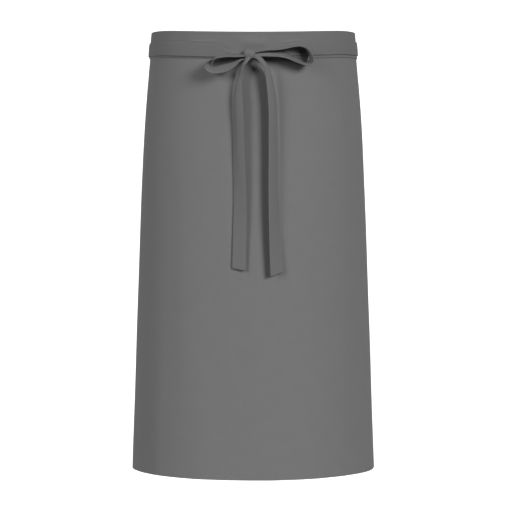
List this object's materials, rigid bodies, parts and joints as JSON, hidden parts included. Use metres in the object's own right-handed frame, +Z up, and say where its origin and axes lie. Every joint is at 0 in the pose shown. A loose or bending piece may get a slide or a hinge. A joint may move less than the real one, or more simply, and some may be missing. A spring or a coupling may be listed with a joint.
{
  "type": "waist apron",
  "caption": "Long waist apron of plain woven cloth with a folded waistband, tied in a bow at the front with two hanging ends.",
  "frame": {"origin": "centre of the waist, at half the waistband's height at the front", "axes": "+Z up; the front with the bow faces -Y; +X to the right of someone who looks at the front"},
  "size_m": [0.443, 0.2906, 0.8021],
  "materials": {
    "skirt_cloth": "matt plain-weave polycotton, mid grey",
    "band_cloth": "the same grey cloth, doubled and pressed flat",
    "tie_cloth": "the same grey cloth, folded into narrow stitched ties"
  },
  "bodies": {
    "root": {"skirt_panel": "skirt_cloth", "waistband": "band_cloth", "tie_wrap_left": "tie_cloth", "tie_wrap_right": "tie_cloth", "bow_knot": "tie_cloth", "bow_loop_left": "tie_cloth", "bow_loop_right": "tie_cloth", "tail_left": "tie_cloth", "tail_right": "tie_cloth"}
  },
  "joints": []
}
